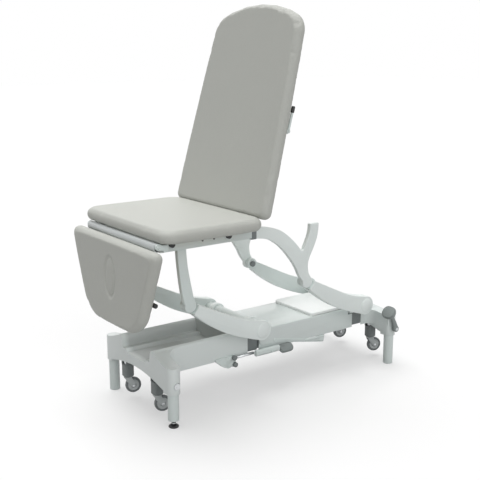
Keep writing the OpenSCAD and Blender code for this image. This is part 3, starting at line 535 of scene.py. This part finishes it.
PLUG_AT = (139.0, 0.0)
PLUG_LONG = 86.0
PLUG_WIDE = 46.0
leg_pad = cushion("leg_pad", "leg_cushion", [(-24, -367), (352, -215), (352, 215), (-24, 367)],
                  (30, 136, 136, 30), -24.5, 25, 21, LEG_FRAME, 5.0)


def sink_groove(piece, matrix, depth, width):
    """Presses the stitched groove around the oval plug into the face of the leg pad."""
    inverse = matrix.inverted()
    for vert in piece.data.vertices:
        local = inverse @ vert.co
        if local.z > 0:
            reach = math.hypot((local.x - PLUG_AT[0]) / PLUG_LONG, (local.y - PLUG_AT[1]) / PLUG_WIDE)
            away = (reach - 1.0) * (PLUG_LONG + PLUG_WIDE) / 2
            if reach < 1.0:
                local.z -= depth
            else:
                local.z -= depth * math.exp(-(away / width) ** 2)
            vert.co = matrix @ local


sink_groove(leg_pad, LEG_FRAME, 5.0, 5.5)
add_smooth(leg_pad)


def oval_blank(centre, half_long, half_wide, low, high, edge, matrix):
    """Builder of a flat oval pad with a round rim."""
    def build(shape):
        bmesh.ops.create_circle(shape, cap_ends=True, segments=72, radius=1.0)
        bmesh.ops.scale(shape, vec=(half_long, half_wide, 1.0), verts=shape.verts)
        bmesh.ops.translate(shape, vec=(centre[0], centre[1], low), verts=shape.verts)
        lifted = bmesh.ops.extrude_face_region(shape, geom=shape.faces[:])
        moved = [item for item in lifted["geom"] if isinstance(item, bmesh.types.BMVert)]
        bmesh.ops.translate(shape, vec=(0, 0, high - low), verts=moved)
        bmesh.ops.recalc_face_normals(shape, faces=shape.faces)
        top = [e for e in shape.edges if all(abs(v.co.z - high) < 0.01 for v in e.verts)]
        bmesh.ops.bevel(shape, geom=top, offset=edge, offset_type="OFFSET", segments=5, profile=0.5,
                        affect="EDGES", material=-1)
        bmesh.ops.transform(shape, matrix=matrix, verts=shape.verts)
    return build


PLUG_GAP = 3.5
PLUG_LOW = 14.0
PLUG_TOP = 27.5
plug_pad = add_piece("oval_plug_pad",
                     oval_blank(PLUG_AT, PLUG_LONG - PLUG_GAP, PLUG_WIDE - PLUG_GAP, PLUG_LOW, PLUG_TOP, 8.0,
                                LEG_FRAME),
                     "breather_plug")
inflate(plug_pad, 4.0, 4.0, 3.0, LEG_FRAME, PLUG_LOW)
add_smooth(plug_pad)


# Small fittings

def turned(profile, matrix, steps=40):
    """Builder of a turned piece: a profile of (radius, height) in millimetres, spun about the matrix's Z axis."""
    def build(shape):
        verts = [shape.verts.new((radius, 0.0, height)) for radius, height in profile]
        edges = [shape.edges.new(pair) for pair in zip(verts, verts[1:])]
        bmesh.ops.spin(shape, geom=verts + edges, cent=(0, 0, 0), axis=(0, 0, 1), angle=math.tau, steps=steps,
                       use_merge=True)
        bmesh.ops.remove_doubles(shape, verts=shape.verts, dist=0.001)
        bmesh.ops.recalc_face_normals(shape, faces=shape.faces)
        bmesh.ops.transform(shape, matrix=matrix, verts=shape.verts)
    return build


def facing(origin, direction):
    """Matrix that stands a turned piece at a place with its axis along a direction."""
    side = (0, 0, 1) if abs(direction[2]) < 0.9 else (1, 0, 0)
    z_axis = Vector(direction).normalized()
    x_axis = Vector(side).cross(z_axis)
    return local_frame(origin, x_axis, z_axis)


def add_fitting(name, builder, node_name, slot_name, width=0.0):
    piece = add_piece(name, builder, node_name, slot_name, replaced=False)
    if width:
        soften(piece, width * MM, 2, 30.0)
    else:
        piece.data.shade_smooth()
    return piece


SCREW_HEAD = [(CENTRE, 2.6), (2.4, 2.5), (4.2, 1.6), (5.0, 0.0), (3.0, -3.0), (CENTRE, -3.0)]
for side in (-1, 1):
    for number, x in enumerate((-468, -410)):
        add_fitting("rail_screw_%s_%d" % (side_name(side), number),
                    turned(SCREW_HEAD, facing((x, side * RAIL_FACE_Y, 778), (0, side, 0)), 20),
                    "seat_frame", "black_plastic")

CASTOR_TURN = math.radians(72)
AXLE = (math.cos(CASTOR_TURN), math.sin(CASTOR_TURN), 0.0)
HUB_PLATE = [(11.0, 5.0), (25.4, 4.0), (25.9, 8.4), (24.2, 9.4), (22.5, 8.2), (15.0, 7.6), (12.6, 8.6),
             (11.0, 8.6)]
AXLE_NUT = [(CENTRE, 20.5), (4.5, 20.2), (6.5, 18.5), (6.8, 14.6), (CENTRE, 14.6)]
for corner, i, j in (("fn", -1, -1), ("ff", -1, 1), ("rn", 1, -1), ("rf", 1, 1)):
    centre = (i * LEG_END_X + CASTOR_TRAIL * math.sin(CASTOR_TURN),
              j * CASTOR_Y - CASTOR_TRAIL * math.cos(CASTOR_TURN), WHEEL_Z)
    for side, letter in ((-1, "a"), (1, "b")):
        outward = facing(centre, [side * a for a in AXLE])
        add_fitting("castor_hub_%s_%s" % (corner, letter), turned(HUB_PLATE, outward, 36),
                    "castor_wheel_" + corner, "grey_metal")
        add_fitting("axle_nut_%s_%s" % (corner, letter), turned(AXLE_NUT, outward, 6),
                    "castor_fork_" + corner, "steel", 0.5)

HINGE_COVER_R = 18.0
HINGE_COVER_HALF = 285.0
add_fitting("leg_hinge_cover_tube",
            turned([(14.0, -HINGE_COVER_HALF), (HINGE_COVER_R - 1.2, -HINGE_COVER_HALF),
                    (HINGE_COVER_R, 1.2 - HINGE_COVER_HALF), (HINGE_COVER_R, HINGE_COVER_HALF - 1.2),
                    (HINGE_COVER_R - 1.2, HINGE_COVER_HALF), (14.0, HINGE_COVER_HALF)],
                   facing((LEG_HINGE_X, 0, LEG_HINGE_Z - 5), (0, 1, 0)), 48), "leg_frame", "grey_metal")

HINGE_PLUG = [(CENTRE, 1.4), (6.5, 1.2), (8.4, 0.0), (5.6, -6.0), (CENTRE, -6.0)]
for side in (-1, 1):
    add_fitting("hinge_end_plug_%s" % side_name(side),
                turned(HINGE_PLUG, facing((LEG_HINGE_X, side * LEG_HINGE_END_Y, LEG_HINGE_Z), (0, side, 0)), 28),
                "leg_hinge_tube", "frame_paint")

STOP_KNOB = [(CENTRE, 13.2), (9.6, 12.9), (11.5, 11.0), (11.5, 0.0), (CENTRE, 0.0)]
for number, (x, z) in enumerate(((-256, 195), (-251, 162))):
    add_fitting("pedal_stop_knob_%d" % number, turned(STOP_KNOB, facing((x, -163.4, z), (0, -1, 0)), 32),
                "pedal_brackets", "dark_plastic")

PIVOT_CAP = [(CENTRE, 9.2), (10.0, 8.8), (20.0, 7.2), (28.0, 4.9), (32.6, 2.8), (34.5, 1.4), (35.0, -1.0),
             (CENTRE, -1.0)]
for end, x in (("front", FRONT_PIVOT_X), ("rear", REAR_PIVOT_X)):
    for side in (-1, 1):
        add_fitting("arm_pivot_cap_%s_%s" % (end, side_name(side)),
                    turned(PIVOT_CAP, facing((x, side * ARM_FACE_Y, PIVOT_Z), (0, side, 0)), 56),
                    end + "_arm_covers", "arm_paint")

add_fitting("pedal_stop_rod", turned([(6.1, 0.0), (6.6, 0.0), (6.6, 98.0), (6.1, 98.0)],
                                     facing((-245, -165, 194), (1, 0, 0)), 28), "pedal_brackets", "steel")

for side in (-1, 1):
    add_fitting("sleeve_screw_%s" % side_name(side),
                turned(SCREW_HEAD, facing((-628, side * 288.6, 198), (0.2, side * 0.98, 0)), 20),
                "front_base_cover", "black_plastic")
add_fitting("foot_stud_sleeve", turned([(6.02, 14.2), (6.9, 14.2), (6.9, 20.8), (6.02, 20.8)],
                                       facing((-LEG_END_X, -258, 0), (0, 0, 1)), 32), "levelling_foot", "steel")


# Floor, light and camera

PAPER_BOUNCE_LOW = (0.40, 0.40, 0.40)
PAPER_BOUNCE_HIGH = (0.42, 0.42, 0.42)
PAPER_SEEN = (0.53, 0.53, 0.53)
PAPER_GLOW = 0.455


def add_floor():
    """White paper floor. The camera sees it nearly blown out, while the light it throws back stays soft."""
    mesh = bpy.data.meshes.new("studio_floor")
    floor = bpy.data.objects.new("studio_floor", mesh)
    scene.collection.objects.link(floor)
    shape = bmesh.new()
    bmesh.ops.create_grid(shape, x_segments=2, y_segments=2, size=30.0)
    shape.to_mesh(mesh)
    shape.free()
    material, tree, shader, coords = empty_material("studio_paper")
    surface = tree.nodes.new("ShaderNodeGroup")
    surface.node_tree = SURFACE
    surface.inputs["Patch Scale"].default_value = 0.4
    tree.links.new(coords.outputs["Object"], surface.inputs["Vector"])
    mix = mix_colours(tree, PAPER_BOUNCE_LOW, PAPER_BOUNCE_HIGH)
    tree.links.new(surface.outputs["Tone"], mix.inputs[0])
    tree.links.new(mix.outputs[2], shader.inputs["Base Color"])
    shader.inputs["Roughness"].default_value = 1.0
    shader.inputs["Specular IOR Level"].default_value = 0.0
    paper = tree.nodes.new("ShaderNodeBsdfDiffuse")
    paper.inputs["Color"].default_value = (*PAPER_SEEN, 1.0)
    glow = tree.nodes.new("ShaderNodeEmission")
    glow.inputs["Strength"].default_value = PAPER_GLOW
    bright = tree.nodes.new("ShaderNodeAddShader")
    path = tree.nodes.new("ShaderNodeLightPath")
    seen = tree.nodes.new("ShaderNodeMath")
    seen.operation = "MAXIMUM"
    either = tree.nodes.new("ShaderNodeMixShader")
    tree.links.new(path.outputs["Is Camera Ray"], seen.inputs[0])
    tree.links.new(path.outputs["Is Glossy Ray"], seen.inputs[1])
    tree.links.new(paper.outputs[0], bright.inputs[0])
    tree.links.new(glow.outputs[0], bright.inputs[1])
    tree.links.new(seen.outputs[0], either.inputs[0])
    tree.links.new(shader.outputs[0], either.inputs[1])
    tree.links.new(bright.outputs[0], either.inputs[2])
    tree.links.new(either.outputs[0], tree.nodes["Material Output"].inputs["Surface"])
    mesh.materials.append(material)


def add_sun(name, direction, angle, strength):
    """Wide soft light that falls alike on the whole floor."""
    light = bpy.data.lights.new(name, "SUN")
    light.angle = math.radians(angle)
    light.energy = strength
    lamp = bpy.data.objects.new(name, light)
    lamp.rotation_euler = (-Vector(direction)).to_track_quat("-Z", "Y").to_euler()
    scene.collection.objects.link(lamp)


def add_world(strength):
    world = bpy.data.worlds.new("studio_world")
    world.use_nodes = True
    scene.world = world
    tree = world.node_tree
    tree.nodes.clear()
    output = tree.nodes.new("ShaderNodeOutputWorld")
    soft = tree.nodes.new("ShaderNodeBackground")
    soft.inputs["Strength"].default_value = strength
    backdrop = tree.nodes.new("ShaderNodeBackground")
    backdrop.inputs["Strength"].default_value = 1.0
    mix = tree.nodes.new("ShaderNodeMixShader")
    path = tree.nodes.new("ShaderNodeLightPath")
    seen = tree.nodes.new("ShaderNodeMath")
    seen.operation = "MAXIMUM"
    for background in (soft, backdrop):
        background.inputs["Color"].default_value = (1.0, 1.0, 1.0, 1.0)
    tree.links.new(path.outputs["Is Camera Ray"], seen.inputs[0])
    tree.links.new(path.outputs["Is Glossy Ray"], seen.inputs[1])
    tree.links.new(seen.outputs[0], mix.inputs[0])
    tree.links.new(soft.outputs[0], mix.inputs[1])
    tree.links.new(backdrop.outputs[0], mix.inputs[2])
    tree.links.new(mix.outputs[0], output.inputs["Surface"])


LENS = 64.245
CAMERA_AZIMUTH = -36.3
CAMERA_ELEVATION = 12.8
CAMERA_PLACE = (-2388.5, -3113.9, 1564.3)


def add_camera():
    """Camera solved from the photograph."""
    data = bpy.data.cameras.new("photo_camera")
    data.sensor_width = 36.0
    data.lens = LENS
    data.clip_end = 100.0
    camera = bpy.data.objects.new("photo_camera", data)
    azimuth, elevation = math.radians(CAMERA_AZIMUTH), math.radians(CAMERA_ELEVATION)
    back = Vector((math.sin(azimuth) * math.cos(elevation), -math.cos(azimuth) * math.cos(elevation),
                   math.sin(elevation)))
    camera.location = place(*CAMERA_PLACE)
    camera.rotation_euler = (-back).to_track_quat("-Z", "Y").to_euler()
    scene.collection.objects.link(camera)
    scene.camera = camera


add_floor()
add_world(0.14)
add_sun("overhead_softbox", (0.0, 0.25, 1.0), 45.0, 1.75)
add_sun("broad_overhead", (-0.2, -0.1, 1.0), 130.0, 0.8)
add_sun("front_fill", (-0.22, -0.95, 0.3), 60.0, 1.0)
add_sun("rear_fill", (0.3, 1.0, 0.4), 60.0, 0.3)
add_camera()
